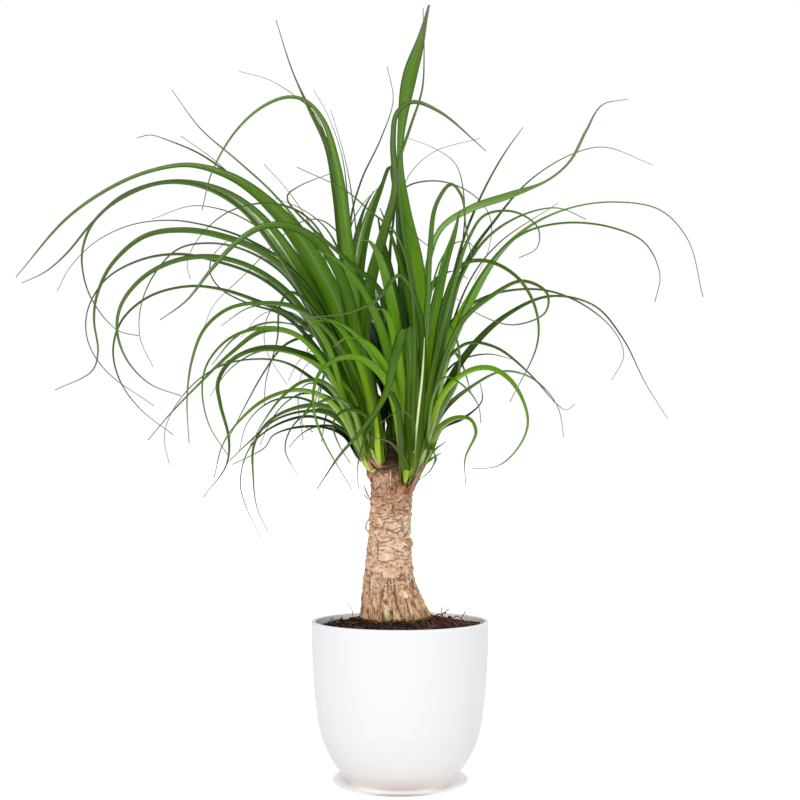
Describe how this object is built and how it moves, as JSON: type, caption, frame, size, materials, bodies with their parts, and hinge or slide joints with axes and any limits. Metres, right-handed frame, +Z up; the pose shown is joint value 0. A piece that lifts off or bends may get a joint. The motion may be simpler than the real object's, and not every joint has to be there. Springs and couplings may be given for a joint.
{
  "type": "potted ponytail palm",
  "caption": "Ponytail palm with four arching leafy heads on one ringed woody trunk, in a round-bottomed matte white pot filled with soil.",
  "frame": {"origin": "centre of the pot's foot, on the surface that the pot stands on", "axes": "+Z up along the pot's axis, -Y towards the plant's front, +X to the right seen from the front"},
  "size_m": [0.6935, 0.6069, 0.7751],
  "materials": {
    "pot_white": "matte",
    "soil_dark": "matte",
    "bark_tan": "matte",
    "leaf_green": "satin"
  },
  "bodies": {
    "root": {"pot": "pot_white", "soil": "soil_dark", "trunk": "bark_tan", "left_head": "leaf_green", "front_head": "leaf_green", "right_head": "leaf_green", "back_head": "leaf_green"}
  },
  "joints": []
}
